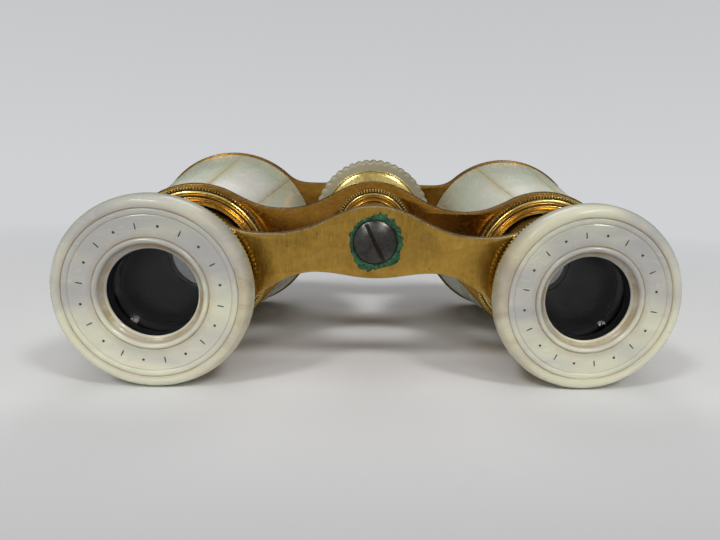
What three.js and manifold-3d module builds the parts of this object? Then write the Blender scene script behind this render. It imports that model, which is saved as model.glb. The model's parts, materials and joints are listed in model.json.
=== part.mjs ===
// Opera glasses with centre focusing: two tapering barrels faced with mother-of-pearl, held by
// three gilt-brass bridge plates. The eye-side plate carries the draw tubes and slides on a
// central column, which a pearl wheel between the other two plates drives by a screw spindle.
import * as THREE from "three";
import { mergeVertices } from "three/addons/utils/BufferGeometryUtils.js";
import Module from "manifold-3d";

const wasm = await Module();
wasm.setup();

// ---- Driving dimensions, in millimetres. In the assembly's own frame X is to the right, Y runs
// along the optical axes from the eyepieces to the objectives and Z is up. Y = 0 is the plane of
// the eyecups' largest radius, and the two optical axes lie at Z = 0. ----
const EYE_SPACING = 62; // between the two optical axes
const COLUMN_HEIGHT = 6.65; // focusing axis above the optical axes
const PLATE = 1.8; // thickness of the three bridge plates
const FIT = 0.3; // gap between pieces that seat on each other
const RUNNING = 0.4; // radial gap round what slides or turns

const OPENING = 2.5; // eyepieces' travel away from the objectives
const CLOSING = 13; // eyepieces' travel towards the objectives
const CLOSED_GAP = 1.1; // left between the eye-side plate and the collars when closed

const DRAW_TUBE_RADIUS = 9.35;
const DRAW_TUBE_WALL = 0.45;
const STOP_RING = { thickness: 0.75, length: 2.7 };
const GUIDE = {
  wall: 0.6, length: 8, flange: 1.5, milled: 2.6,
  land: 0.6, hollow: 0.4, slope: 0.3, step: 0.6, // its face, from the bore out to the milled step
};
const COLUMN_GUIDE = { wall: 0.6, flange: 1.3, milled: 1.2, slope: 0.2, step: 0.4, drop: 0.5 };

const BARREL_WALL = 0.7;
const BARREL_CLEARANCE = 0.65; // round the guide sleeve at the narrow end
const PEARL = { thickness: 0.9, setback: 0.45, slips: 9, seam: 0.3, facets: 4 };
const SEAM_ANGLES = { left: 4, right: 34 }; // degrees from +X to the first seam

const OBJECTIVE_RADIUS = 13.8;
const CELL = {
  wall: 0.7, clearance: 0.5, behind: 1.6, flange: 3, width: 1.3, lip: 0.7, chamfer: 0.4,
};
const CROWN = { edge: 1, front: 1.6, back: 1.2 }; // edge thickness and how far each face bulges
const FLINT = { edge: 2.4, back: 0.5 };
const LENS_STEPS = [0, 0.35, 0.7, 1]; // shares of a lens's radius at its profile's corners
const RETAINER = { width: 0.8, length: 0.8 };
const TUBE_END_CLEARANCE = 3; // draw tube to objective cell when closed

const EYECUP = {
  flare: 4.59, front: 2.1, back: 3.2, aperture: 6.2, lip: 0.6,
  hollow: 1, throat: 0.66, sunk: 0.3, // the bevel round the aperture, and the face behind the nose
  taper: 0.2, chamfer: 1, round: 0.64, // behind the largest radius
};
const OCULAR_BAND = 2.75; // width of the eye-side plate's ring round an eyepiece
const EYE_COLLAR = { length: 1.4, overhang: 0.8 };
const EYE_CELL = { length: 8.1, front: 0.6, wall: 0.9, aperture: 6.3 };
const EYE_LENS = { edge: 2.5, dish: 0.75 };

const COLUMN_RADIUS = 4.4;
const COLUMN_WALL = 1.2;
const COLUMN_PLUG = 4.7; // solid end that takes the screw
const NUT_LENGTH = 5;
const SPINDLE_RADIUS = 2;
const HUB_WALL = 1.5;
const HUB_END = 2.3; // wall that the spindle is fixed in
const WHEEL = { radius: 11.07, width: 6, teeth: 46, depth: 0.34, setback: 7.1 };
const FLANGE = { radius: 9.28, thickness: 0.9, dome: 0.35 };
const BEARING = { wall: 1.9, flange: 0.7, width: 1 };
const END_NUT = {
  radius: 3.8, length: 2, bore: 1, straight: 1.2, taper: 0.95, slot: 0.7, slotDepth: 0.5,
};
const SCREW = { radius: 3.5, recess: 0.8, dome: 0.75, shank: 1.9, length: 4.4, slot: 0.55 };
const DOME = [[0, 1], [0.5, 0.8], [0.85, 0.3], [1, 0]]; // shares of the head's radius and dome
const SCREW_SLOT_ANGLE = -26; // degrees that the slot leans from upright
const SLOT_REACH = 3; // length of a slot's cutter as a multiple of the head's radius
const TOOTH = [[-0.5, 1], [-0.22, 0], [0.22, 0]]; // shares of the wheel's pitch and tooth depth

// Facets round a large visible piece, one inside and a small one, each with a corner at the
// bottom, where the glasses rest. Then the steps along a bridge's curved edge, on its ring above
// and below the waist, and round an eyecup's nose.
const ROUND = 32;
const INNER = 24;
const SMALL = 20;
const BEND_STEPS = 6;
const RING_STEPS = { above: 2, below: 4 };
const NOSE_STEPS = 4;

// ---- Radii that follow, from the draw tube outwards at the narrow end of a barrel ----
const axisX = EYE_SPACING / 2;
const tubeBore = DRAW_TUBE_RADIUS - DRAW_TUBE_WALL;
const guideBore = DRAW_TUBE_RADIUS + RUNNING;
const guideRadius = guideBore + GUIDE.wall;
const barrelRearBore = guideRadius + BARREL_CLEARANCE;
const pearlInset = BARREL_WALL + FIT; // from the barrel's bore to the pearl's inner face
const middleRing = barrelRearBore + pearlInset + PEARL.thickness + PEARL.setback;
const eyeSeat = DRAW_TUBE_RADIUS + FIT;
const eyecupRadius = DRAW_TUBE_RADIUS + EYECUP.flare;

// ---- Radii at the objective end, from the lens outwards ----
const cellBore = OBJECTIVE_RADIUS + FIT;
const cellRadius = cellBore + CELL.wall;
const barrelFrontBore = cellRadius + CELL.clearance;
const frontRing = barrelFrontBore + pearlInset + PEARL.thickness + PEARL.setback;

// ---- Radii round the focusing axis ----
const columnBore = COLUMN_RADIUS - COLUMN_WALL;
const spindleHole = SPINDLE_RADIUS + FIT;
const columnGuideBore = COLUMN_RADIUS + RUNNING;
const columnGuideRadius = columnGuideBore + COLUMN_GUIDE.wall;
const hubRadius = columnGuideBore + HUB_WALL;
const screwHole = SCREW.shank + FIT;

// ---- Places along Y: the travel sets the length of the barrels ----
const ocularY = EYECUP.back + FIT + EYE_COLLAR.length + FIT; // eye-side face of each plate
const ocularBack = ocularY + PLATE;
const guideY = ocularBack + CLOSING + CLOSED_GAP;
const middleY = guideY + GUIDE.flange + FIT;
const middleBack = middleY + PLATE;
const guideEnd = middleBack + GUIDE.length;
const stopRingY = guideEnd + FIT + OPENING;
const tubeEnd = stopRingY + STOP_RING.length;
const cellY = tubeEnd + CLOSING + TUBE_END_CLEARANCE;
const frontY = cellY + CELL.behind;
const frontBack = frontY + PLATE;
const restTilt = Math.atan2(frontRing - eyecupRadius, frontY);

const COLOURS = {
  gilt: { color: 0xc9962f, roughness: 0.3, metalness: 1 },
  polished: { color: 0xe6c45c, roughness: 0.15, metalness: 1 },
  blackened: { color: 0x1c1a18, roughness: 0.6, metalness: 0.4 },
  steel: { color: 0x6d6a6c, roughness: 0.35, metalness: 1 },
  pearl: { color: 0xd9d6c6, roughness: 0.25, metalness: 0 },
  glass: { color: 0xdfe8e6, roughness: 0.02, metalness: 0 },
};

function mesh(group, name, finish, geometry) {
  const made = new THREE.Mesh(geometry, new THREE.MeshStandardMaterial(COLOURS[finish]));
  made.name = name;
  group.add(made);
}

// A closed profile of [radius, y] corners turned about the Y axis, whichever way it is listed.
function turned(profile, segments = ROUND, start = 0) {
  const loop = profile.map(([radius, y]) => new THREE.Vector2(radius, y));
  if (THREE.ShapeUtils.area(loop) < 0) loop.reverse();
  if (profile[0][0] > 0) loop.push(loop[0].clone());
  return new THREE.LatheGeometry(loop, segments, start);
}

// A plain tube or washer between two radii and two places along Y.
function ring(inner, outer, y0, y1, segments = ROUND) {
  return turned([[inner, y0], [outer, y0], [outer, y1], [inner, y1]], segments);
}

// An outline in X and Z made into a plate from y0 to y1.
function plate(outline, y0, y1) {
  const made = new THREE.ExtrudeGeometry(outline, { depth: y1 - y0, bevelEnabled: false });
  return made.rotateX(Math.PI / 2).translate(0, y1, 0);
}

function solid(geometry) {
  const bare = geometry.clone();
  bare.deleteAttribute("normal");
  bare.deleteAttribute("uv");
  const merged = mergeVertices(bare);
  return new wasm.Manifold(new wasm.Mesh({
    numProp: 3,
    vertProperties: merged.attributes.position.array,
    triVerts: new Uint32Array(merged.index.array),
  }));
}

function fromSolid(manifold) {
  const made = manifold.getMesh();
  const geometry = new THREE.BufferGeometry();
  geometry.setAttribute("position", new THREE.BufferAttribute(made.vertProperties, 3));
  geometry.setIndex(new THREE.BufferAttribute(made.triVerts, 1));
  geometry.computeVertexNormals();
  return geometry;
}

// A screwdriver slot across a head that ends at y: a box longer than the head, centred on its
// face, so that it cuts to the given depth.
function slotCutter(width, headRadius, y, depth, lean) {
  const box = new THREE.BoxGeometry(width, 2 * depth, SLOT_REACH * headRadius);
  box.rotateY(THREE.MathUtils.degToRad(lean));
  return box.translate(0, y, 0);
}

// Points along a cubic curve or an arc, without the last, so that pieces join end to end.
function bend(...corners) {
  const curve = new THREE.CubicBezierCurve(...corners.map(([x, z]) => new THREE.Vector2(x, z)));
  return curve.getPoints(BEND_STEPS).slice(0, -1);
}

function arc(x, z, radius, from, to, steps) {
  const points = [];
  for (let i = 0; i < steps; i++) {
    const a = from + ((to - from) * i) / steps;
    points.push(new THREE.Vector2(x + radius * Math.cos(a), z + radius * Math.sin(a)));
  }
  return points;
}

// ---- Bridge outlines ----
// How far the handles of the curved edges reach, as shares of each bend's width.
const REACH = { humpOut: 0.39, waistIn: 0.52, rise: 0.4, fall: 0.35, crestIn: 0.6, humpUnder: 0.4 };

// The right half runs clockwise from the top of the central hump: down to the waist, up to the
// ring round the optical axis, round it, and back under the bar to the hump's underside.
function bridgeOutline(b) {
  const toRing = (angle) => {
    const a = THREE.MathUtils.degToRad(angle);
    const at = new THREE.Vector2(axisX + b.ring * Math.cos(a), b.ring * Math.sin(a));
    return { a, at, along: new THREE.Vector2(Math.sin(a), -Math.cos(a)) };
  };
  const top = toRing(b.topJoin);
  const low = toRing(b.lowJoin);
  const waistX = axisX - b.ring - b.waistGap;
  const waistZ = COLUMN_HEIGHT + b.waistRise;
  const crestX = waistX * b.crestShare;
  const crestZ = COLUMN_HEIGHT - b.crestDrop;
  const humpTop = COLUMN_HEIGHT + b.hump;
  const humpLow = COLUMN_HEIGHT - b.hump;
  const rise = (top.at.x - waistX) * REACH.rise;
  const fall = (low.at.x - crestX) * REACH.fall;
  const right = [
    ...bend(
      [0, humpTop],
      [waistX * REACH.humpOut, humpTop],
      [waistX * REACH.waistIn, waistZ],
      [waistX, waistZ],
    ),
    ...bend(
      [waistX, waistZ],
      [waistX + rise, waistZ],
      [top.at.x - top.along.x * rise, top.at.y - top.along.y * rise],
      [top.at.x, top.at.y],
    ),
    ...arc(axisX, 0, b.ring, top.a, Math.PI / 2, RING_STEPS.above),
    ...arc(axisX, 0, b.ring, Math.PI / 2, -Math.PI / 2, ROUND / 2),
    ...arc(axisX, 0, b.ring, -Math.PI / 2, low.a, RING_STEPS.below),
    ...bend(
      [low.at.x, low.at.y],
      [low.at.x + low.along.x * fall, low.at.y + low.along.y * fall],
      [crestX + fall, crestZ],
      [crestX, crestZ],
    ),
    ...bend(
      [crestX, crestZ],
      [crestX * REACH.crestIn, crestZ],
      [crestX * REACH.humpUnder, humpLow],
      [0, humpLow],
    ),
    new THREE.Vector2(0, humpLow),
  ];
  const left = right.slice(1, -1).reverse().map((p) => new THREE.Vector2(-p.x, p.y));
  return new THREE.Shape([...right, ...left]);
}

function addHole(outline, x, z, radius, segments = ROUND) {
  outline.holes.push(new THREE.Path(arc(x, z, radius, 0, 2 * Math.PI, segments)));
}

const OCULAR = {
  ring: eyeSeat + OCULAR_BAND, hump: 5.5, waistGap: 2.6, waistRise: 1.07, topJoin: 128,
  crestShare: 0.56, crestDrop: 4.62, lowJoin: -158,
};
const MIDDLE = {
  ring: middleRing, hump: 7.8, waistGap: 1.4, waistRise: 2.67, topJoin: 118,
  crestShare: 0.56, crestDrop: 6.55, lowJoin: -142,
};
const FRONT = {
  ring: frontRing, hump: 7.8, waistGap: 1.35, waistRise: 4.7, topJoin: 132,
  crestShare: 0.6, crestDrop: 8.65, lowJoin: -138,
};

// ---- Fixed body: front and middle bridges, barrels, pearl, objectives and guides ----
function addBridges(group) {
  const front = bridgeOutline(FRONT);
  const middle = bridgeOutline(MIDDLE);
  for (const x of [-axisX, axisX]) {
    addHole(front, x, 0, barrelFrontBore);
    addHole(middle, x, 0, guideRadius + FIT);
  }
  addHole(front, 0, COLUMN_HEIGHT, spindleHole + BEARING.wall + FIT, SMALL);
  addHole(middle, 0, COLUMN_HEIGHT, columnGuideRadius + FIT, SMALL);
  mesh(group, "front_bridge", "gilt", plate(front, frontY, frontBack));
  mesh(group, "middle_bridge", "gilt", plate(middle, middleY, middleBack));
}

// A tapering shell between the two bridges: radii at its two ends and a wall outside them.
function taperedShell(rear, front, wall, segments, start) {
  const y0 = middleBack + FIT;
  const y1 = frontY - FIT;
  const profile = [[rear, y0], [rear + wall, y0], [front + wall, y1], [front, y1]];
  return turned(profile, segments, start);
}

function addBarrel(group, side) {
  mesh(group, "barrel_" + side, "gilt",
    taperedShell(barrelRearBore, barrelFrontBore, BARREL_WALL, ROUND, 0));
  const sector = (2 * Math.PI) / PEARL.slips;
  const first = THREE.MathUtils.degToRad(SEAM_ANGLES[side]);
  const shell = solid(taperedShell(
    barrelRearBore + pearlInset, barrelFrontBore + pearlInset, PEARL.thickness,
    PEARL.slips * PEARL.facets, Math.PI / 2 - first,
  ));
  const reach = 2 * frontRing;
  const halfSeam = PEARL.seam / 2 / middleRing;
  for (let i = 0; i < PEARL.slips; i++) {
    const from = first + i * sector + halfSeam;
    const to = first + (i + 1) * sector - halfSeam;
    const wedge = new THREE.Shape([
      new THREE.Vector2(0, 0),
      new THREE.Vector2(reach * Math.cos(from), reach * Math.sin(from)),
      new THREE.Vector2(reach * Math.cos(to), reach * Math.sin(to)),
    ]);
    const slip = shell.intersect(solid(plate(wedge, 0, frontBack)));
    mesh(group, "pearl_slip_" + side + "_" + (i + 1), "pearl", fromSolid(slip));
  }
}

// A lens profile from the axis out along one face and back along the other. Each face is a
// parabola that leaves its edge plane by the given amount at the axis, towards +Y if positive.
function lens(radius, rearEdge, rearDepth, frontEdge, frontDepth) {
  const face = (edge, depth) => LENS_STEPS.map((s) => [s * radius, edge + depth * (1 - s * s)]);
  return turned([...face(rearEdge, rearDepth), ...face(frontEdge, frontDepth).reverse()], INNER);
}

function addObjective(group, side) {
  const seat = cellY + CELL.lip;
  const lip = cellBore - RETAINER.width;
  const cellFront = frontBack + FIT + CELL.flange;
  mesh(group, "objective_cell_" + side, "polished", turned([
    [lip, cellY],
    [cellRadius, cellY],
    [cellRadius, frontBack + FIT],
    [cellRadius + CELL.width, frontBack + FIT],
    [cellRadius + CELL.width, cellFront - CELL.chamfer],
    [cellRadius + CELL.width - CELL.chamfer, cellFront],
    [cellBore, cellFront],
    [cellBore, seat],
    [lip, seat],
  ]));
  const flintRear = seat + FIT;
  const flintFront = flintRear + FLINT.edge;
  mesh(group, "objective_flint_" + side, "glass",
    lens(OBJECTIVE_RADIUS, flintRear, FLINT.back, flintFront, -CROWN.back));
  const crownRear = flintFront + FIT;
  const crownFront = crownRear + CROWN.edge;
  mesh(group, "objective_crown_" + side, "glass",
    lens(OBJECTIVE_RADIUS, crownRear, -CROWN.back, crownFront, CROWN.front));
  const retainer = crownFront + FIT;
  mesh(group, "objective_retainer_" + side, "gilt",
    ring(lip, OBJECTIVE_RADIUS, retainer, retainer + RETAINER.length));
}

// The milled collar screwed to the middle plate, whose sleeve guides the draw tube.
function addGuide(group, side) {
  const rim = guideRadius + GUIDE.milled;
  const landEdge = guideRadius + GUIDE.land;
  const flangeEnd = guideY + GUIDE.flange;
  mesh(group, "draw_tube_guide_" + side, "polished", turned([
    [guideBore, guideY + GUIDE.hollow],
    [landEdge, guideY + GUIDE.hollow],
    [landEdge + GUIDE.slope, guideY],
    [rim - GUIDE.step - GUIDE.slope, guideY],
    [rim - GUIDE.step, guideY + GUIDE.step],
    [rim, guideY + GUIDE.step],
    [rim, flangeEnd],
    [guideRadius, flangeEnd],
    [guideRadius, guideEnd],
    [guideBore, guideEnd],
  ]));
}

function addFixedCentre(group) {
  const guideFace = middleY - FIT - COLUMN_GUIDE.flange;
  const rim = columnGuideRadius + COLUMN_GUIDE.milled;
  mesh(group, "column_guide", "polished", turned([
    [columnGuideBore, guideFace],
    [rim - COLUMN_GUIDE.step - COLUMN_GUIDE.slope, guideFace],
    [rim - COLUMN_GUIDE.step, guideFace + COLUMN_GUIDE.drop],
    [rim, guideFace + COLUMN_GUIDE.drop],
    [rim, middleY - FIT],
    [columnGuideRadius, middleY - FIT],
    [columnGuideRadius, middleBack - FIT],
    [columnGuideBore, middleBack - FIT],
  ], SMALL));
  const bush = spindleHole + BEARING.wall;
  const bushFlange = frontBack + FIT + BEARING.flange;
  mesh(group, "spindle_bearing", "polished", turned([
    [spindleHole, frontY],
    [bush, frontY],
    [bush, frontBack + FIT],
    [bush + BEARING.width, frontBack + FIT],
    [bush + BEARING.width, bushFlange],
    [spindleHole, bushFlange],
  ], SMALL));
}

// ---- Eyepiece carriage: ocular bridge, draw tubes, eyepieces and focusing column ----
function addOcularBridge(group) {
  const outline = bridgeOutline(OCULAR);
  for (const x of [-axisX, axisX]) addHole(outline, x, 0, eyeSeat);
  addHole(outline, 0, COLUMN_HEIGHT, screwHole, SMALL);
  const recess = ring(0, SCREW.radius + FIT, -SCREW.recess, SCREW.recess, SMALL);
  recess.translate(0, ocularY, COLUMN_HEIGHT);
  const cut = solid(plate(outline, ocularY, ocularBack)).subtract(solid(recess));
  mesh(group, "ocular_bridge", "gilt", fromSolid(cut));
}

function addEyepiece(group, side) {
  mesh(group, "draw_tube_" + side, "gilt",
    ring(tubeBore, DRAW_TUBE_RADIUS, EYECUP.back + FIT, tubeEnd));
  mesh(group, "draw_tube_stop_" + side, "gilt",
    ring(eyeSeat, eyeSeat + STOP_RING.thickness, stopRingY, tubeEnd, INNER));
  mesh(group, "eyepiece_collar_" + side, "polished",
    ring(eyeSeat, OCULAR.ring + EYE_COLLAR.overhang, EYECUP.back + FIT, ocularY - FIT));
  const cellOuter = tubeBore - FIT;
  const seat = EYECUP.lip + FIT;
  addEyecup(group, side, cellOuter + FIT);
  const lensBore = cellOuter - EYE_CELL.wall;
  mesh(group, "eye_lens_cell_" + side, "blackened", turned([
    [EYE_CELL.aperture, seat],
    [cellOuter, seat],
    [cellOuter, seat + EYE_CELL.length],
    [lensBore, seat + EYE_CELL.length],
    [lensBore, seat + EYE_CELL.front],
    [EYE_CELL.aperture, seat + EYE_CELL.front],
  ], INNER));
  const lensRadius = lensBore - FIT;
  const lensY = seat + EYE_CELL.front + FIT;
  const lensBack = lensY + EYE_LENS.edge;
  mesh(group, "eye_lens_" + side, "glass",
    lens(lensRadius, lensY, EYE_LENS.dish, lensBack, -EYE_LENS.dish));
  mesh(group, "eye_lens_retainer_" + side, "blackened",
    ring(EYE_CELL.aperture, lensRadius, lensBack + FIT, lensBack + FIT + RETAINER.length, INNER));
}

// The turned pearl eyecup: a bull-nosed rim, a flat face and a bevel down to the aperture, with a
// counterbore behind for the lens cell.
function addEyecup(group, side, counterbore) {
  const face = EYECUP.sunk - EYECUP.front;
  const nose = [];
  for (let i = NOSE_STEPS - 1; i > 0; i--) {
    const angle = ((i / NOSE_STEPS) * Math.PI) / 2;
    const inwards = EYECUP.front * (1 - Math.cos(angle));
    nose.push([eyecupRadius - inwards, -EYECUP.front * Math.sin(angle)]);
  }
  mesh(group, "eyecup_" + side, "pearl", turned([
    [EYECUP.aperture, EYECUP.lip],
    [EYECUP.aperture, -EYECUP.throat],
    [EYECUP.aperture + EYECUP.hollow, face],
    [eyecupRadius - EYECUP.front, face],
    ...nose,
    [eyecupRadius, 0],
    [eyecupRadius - EYECUP.taper, EYECUP.back - EYECUP.round],
    [eyecupRadius - EYECUP.taper - EYECUP.chamfer, EYECUP.back],
    [counterbore, EYECUP.back],
    [counterbore, EYECUP.lip],
  ]));
}

function addColumn(group) {
  const start = ocularBack + FIT;
  const end = tubeEnd;
  const plug = start + COLUMN_PLUG;
  mesh(group, "focus_column", "gilt", turned([
    [screwHole, start],
    [COLUMN_RADIUS, start],
    [COLUMN_RADIUS, end],
    [columnBore, end],
    [columnBore, plug],
    [screwHole, plug],
  ], SMALL));
  mesh(group, "column_nut", "polished",
    ring(spindleHole, columnBore - FIT, end - NUT_LENGTH, end, SMALL));
  const seat = ocularY + SCREW.recess - FIT;
  const rim = seat - SCREW.recess / 2;
  const head = turned([
    ...DOME.map(([out, up]) => [SCREW.radius * out, rim - SCREW.dome * up]),
    [SCREW.radius, seat],
    [SCREW.shank, seat],
    [SCREW.shank, start + SCREW.length],
    [0, start + SCREW.length],
  ], SMALL);
  const slot = slotCutter(
    SCREW.slot, SCREW.radius, rim - SCREW.dome, SCREW.dome, SCREW_SLOT_ANGLE,
  );
  mesh(group, "column_screw", "steel", fromSolid(solid(head).subtract(solid(slot))));
}

// ---- Focusing wheel with its hub, flanges and screw spindle ----
function wheelOutline() {
  const points = [];
  const pitch = (2 * Math.PI) / WHEEL.teeth;
  for (let i = 0; i < WHEEL.teeth; i++) {
    for (const [share, drop] of TOOTH) {
      const radius = WHEEL.radius - drop * WHEEL.depth;
      const angle = (i + share) * pitch;
      points.push(new THREE.Vector2(radius * Math.cos(angle), radius * Math.sin(angle)));
    }
  }
  return new THREE.Shape(points);
}

function addWheel(group) {
  const hubY = middleBack + RUNNING;
  const wheelY = middleBack + WHEEL.setback;
  const wheelEnd = wheelY + WHEEL.width;
  const hubEnd = frontY - RUNNING;
  const outline = wheelOutline();
  addHole(outline, 0, 0, hubRadius + FIT, SMALL);
  mesh(group, "focus_wheel", "pearl", plate(outline, wheelY, wheelEnd));
  const flange = (y, outwards) => turned([
    [hubRadius + FIT, y],
    [FLANGE.radius, y],
    [FLANGE.radius, y + outwards * (FLANGE.thickness - FLANGE.dome)],
    [hubRadius + FIT, y + outwards * FLANGE.thickness],
  ]);
  mesh(group, "wheel_flange_rear", "polished", flange(wheelY - FIT, -1));
  mesh(group, "wheel_flange_front", "polished", flange(wheelEnd + FIT, 1));
  mesh(group, "wheel_hub", "polished", turned([
    [columnGuideBore, hubY],
    [hubRadius, hubY],
    [hubRadius, hubEnd],
    [spindleHole, hubEnd],
    [spindleHole, hubEnd - HUB_END],
    [columnGuideBore, hubEnd - HUB_END],
  ], SMALL));
  const bearingFace = frontBack + FIT + BEARING.flange;
  const nutY = bearingFace + FIT;
  mesh(group, "focus_spindle", "steel",
    ring(0, SPINDLE_RADIUS, hubY + RUNNING, nutY + END_NUT.bore - FIT, SMALL));
  const nut = turned([
    [0, nutY + END_NUT.bore],
    [spindleHole, nutY + END_NUT.bore],
    [spindleHole, nutY],
    [END_NUT.radius, nutY],
    [END_NUT.radius, nutY + END_NUT.straight],
    [END_NUT.radius - END_NUT.taper, nutY + END_NUT.length],
    [0, nutY + END_NUT.length],
  ], SMALL);
  const slot = slotCutter(
    END_NUT.slot, END_NUT.radius, nutY + END_NUT.length, END_NUT.slotDepth, 0,
  );
  mesh(group, "spindle_end_nut", "steel", fromSolid(solid(nut).subtract(solid(slot))));
}

// ---- Assembly ----
// The glasses lie on the eyecups and on the front bridge's rings, so they are tilted about X
// until both touch the ground, and the origin is the middle of the base of their bounding box.
const assembly = new THREE.Group();
for (const [side, x] of [["left", -axisX], ["right", axisX]]) {
  const fixed = new THREE.Group();
  fixed.position.x = x;
  addBarrel(fixed, side);
  addObjective(fixed, side);
  addGuide(fixed, side);
  addEyepiece(fixed, side);
  assembly.add(fixed);
}
addBridges(assembly);
addOcularBridge(assembly);
const centre = new THREE.Group();
centre.position.z = COLUMN_HEIGHT;
addFixedCentre(centre);
addColumn(centre);
addWheel(centre);
assembly.add(centre);
assembly.rotation.x = restTilt;

const glasses = new THREE.Group();
glasses.add(assembly);
const bounds = new THREE.Box3().setFromObject(glasses, true);
const middle = bounds.getCenter(new THREE.Vector3());
assembly.position.set(-middle.x, -middle.y, -bounds.min.z);

export default glasses;
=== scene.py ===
import json
import math
import random

import bmesh
import bpy
from mathutils import Matrix, Vector, noise


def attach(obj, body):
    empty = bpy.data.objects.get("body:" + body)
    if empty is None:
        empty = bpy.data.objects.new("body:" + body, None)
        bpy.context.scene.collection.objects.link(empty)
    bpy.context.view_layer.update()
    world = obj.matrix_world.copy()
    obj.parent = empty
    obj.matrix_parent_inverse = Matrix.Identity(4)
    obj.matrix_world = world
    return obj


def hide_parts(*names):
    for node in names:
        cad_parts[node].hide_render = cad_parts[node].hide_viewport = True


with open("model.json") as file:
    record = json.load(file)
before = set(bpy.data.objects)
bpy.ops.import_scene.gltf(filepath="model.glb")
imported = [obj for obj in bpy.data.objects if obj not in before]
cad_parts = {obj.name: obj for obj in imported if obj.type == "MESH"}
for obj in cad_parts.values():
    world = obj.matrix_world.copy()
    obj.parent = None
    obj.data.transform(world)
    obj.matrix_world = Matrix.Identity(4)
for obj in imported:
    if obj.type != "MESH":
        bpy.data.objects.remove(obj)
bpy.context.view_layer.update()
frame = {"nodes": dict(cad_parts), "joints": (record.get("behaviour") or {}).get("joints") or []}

# ---- How the glasses stand ----
# They rest on the eyecups' rims and on the wide objective plate, so they lean a little.
# Sizes below are millimetres in the glasses' own frame: X right, Y from the eyecups to the
# objectives, Z up, with the origin midway between the two optical axes.
wheel_joint = next(joint for joint in frame["joints"] if joint["name"] == "wheel_turn")
shaft = Vector(wheel_joint["axis"])
LEAN = math.atan2(shaft.z, shaft.y)
EYE_X = 31  # each optical axis from the middle
COLUMN_Z = 6.65  # focusing axis above the optical axes
WHEEL_CENTRE = Vector((0, 34.8, COLUMN_Z))
MILLIMETRE = 0.001
STANDING = (
    Matrix.Translation(Vector(wheel_joint["pos_m"]))
    @ Matrix.Rotation(LEAN, 4, "X")
    @ Matrix.Scale(MILLIMETRE, 4)
    @ Matrix.Translation(-WHEEL_CENTRE)
)
SIDES = {"left": -EYE_X, "right": EYE_X}


# ---- The viewer, the table and the light ----
# A camera a hand's breadth from the eyecups and a little above them, a pale table painted darker
# nearest the camera as painted shade, that fades into a pale surround, and soft lights: overhead,
# behind, and high and low to each side.
CAMERA_AT = Vector((-1.906, -81.594, 22.193))
CAMERA_YAW, CAMERA_PITCH, CAMERA_ROLL = 0.057, 0.222, -0.030
FOCAL_LENGTH = 29.45  # on a sensor 36 mm wide
SIDE_SHIFT = -0.0483
SURROUND = (0.63, 0.638, 0.655, 1)
LAMP_AIM = Vector((0, 0, 0.015))  # every lamp points at the middle of the glasses

ahead = Vector((
    math.sin(CAMERA_YAW) * math.cos(CAMERA_PITCH),
    math.cos(CAMERA_YAW) * math.cos(CAMERA_PITCH),
    -math.sin(CAMERA_PITCH),
))
level = Vector((math.cos(CAMERA_YAW), -math.sin(CAMERA_YAW), 0))
rightward = Matrix.Rotation(CAMERA_ROLL, 3, ahead) @ level
upward = rightward.cross(ahead)
turned_to = Matrix((rightward, upward, -ahead)).transposed().to_4x4()
camera = bpy.data.objects.new("camera", bpy.data.cameras.new("camera"))
bpy.context.scene.collection.objects.link(camera)
camera.matrix_world = (
    Matrix.Translation(STANDING @ CAMERA_AT) @ Matrix.Rotation(LEAN, 4, "X") @ turned_to
)
camera.data.sensor_width = 36
camera.data.lens = FOCAL_LENGTH
camera.data.shift_x = SIDE_SHIFT
camera.data.clip_start = 0.005
bpy.context.scene.camera = camera
bpy.context.scene.view_settings.view_transform = "Standard"


def step(tree, kind, sockets=(), **settings):
    """One node of a finish. A socket's value is a number, a colour or another node's output."""
    made = tree.nodes.new(kind if kind.startswith("Node") else "ShaderNode" + kind)
    for key, value in settings.items():
        setattr(made, key, value)
    for key, value in dict(sockets).items():
        if isinstance(value, bpy.types.NodeSocket):
            tree.links.new(value, made.inputs[key])
        else:
            made.inputs[key].default_value = value
    return made


def blended(tree, share, first, second, way="MIX"):
    """Two colours mixed by a share."""
    made = step(tree, "Mix", {0: share, 6: first, 7: second}, data_type="RGBA", blend_type=way)
    return made.outputs[2]


def spread(tree, value, low, high, to_low=0.0, to_high=1.0):
    """A value between low and high brought to between two others, and held there."""
    ends = {0: value, 1: low, 2: high, 3: to_low, 4: to_high}
    return step(tree, "MapRange", ends).outputs[0]


def grey(tree, value):
    return step(tree, "CombineColor", {0: value, 1: value, 2: value}).outputs[0]


def material(name):
    made = bpy.data.materials.new(name)
    made.use_nodes = True
    made.node_tree.nodes.clear()
    return made, made.node_tree


table_paper, tree = material("pale_table")
spot = step(tree, "TexCoord").outputs["Object"]
across = step(tree, "SeparateXYZ", {0: spot}).outputs
distance = step(tree, "VectorMath", {0: spot}, operation="LENGTH").outputs["Value"]
# painted shade: the table's colour is darker nearest the camera
painted_near_shade = spread(tree, across["Y"], -0.095, -0.035)
paper_with_painted_shade = blended(tree, painted_near_shade, (0.49, 0.49, 0.50, 1), (0.79, 0.79, 0.79, 1))
near_by = step(tree, "BsdfDiffuse", {"Color": paper_with_painted_shade})
haze = step(tree, "Emission", {"Color": SURROUND, "Strength": 1.0})
fade = spread(tree, distance, 0.10, 0.30)
far_off = step(tree, "MixShader", {0: fade, 1: near_by.outputs[0], 2: haze.outputs[0]})
step(tree, "OutputMaterial", {"Surface": far_off.outputs[0]})

bm = bmesh.new()
bmesh.ops.create_grid(bm, x_segments=1, y_segments=1, size=4)
table_mesh = bpy.data.meshes.new("table")
bm.to_mesh(table_mesh)
bm.free()
table_mesh.materials.append(table_paper)
table = bpy.data.objects.new("table", table_mesh)
bpy.context.scene.collection.objects.link(table)

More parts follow.
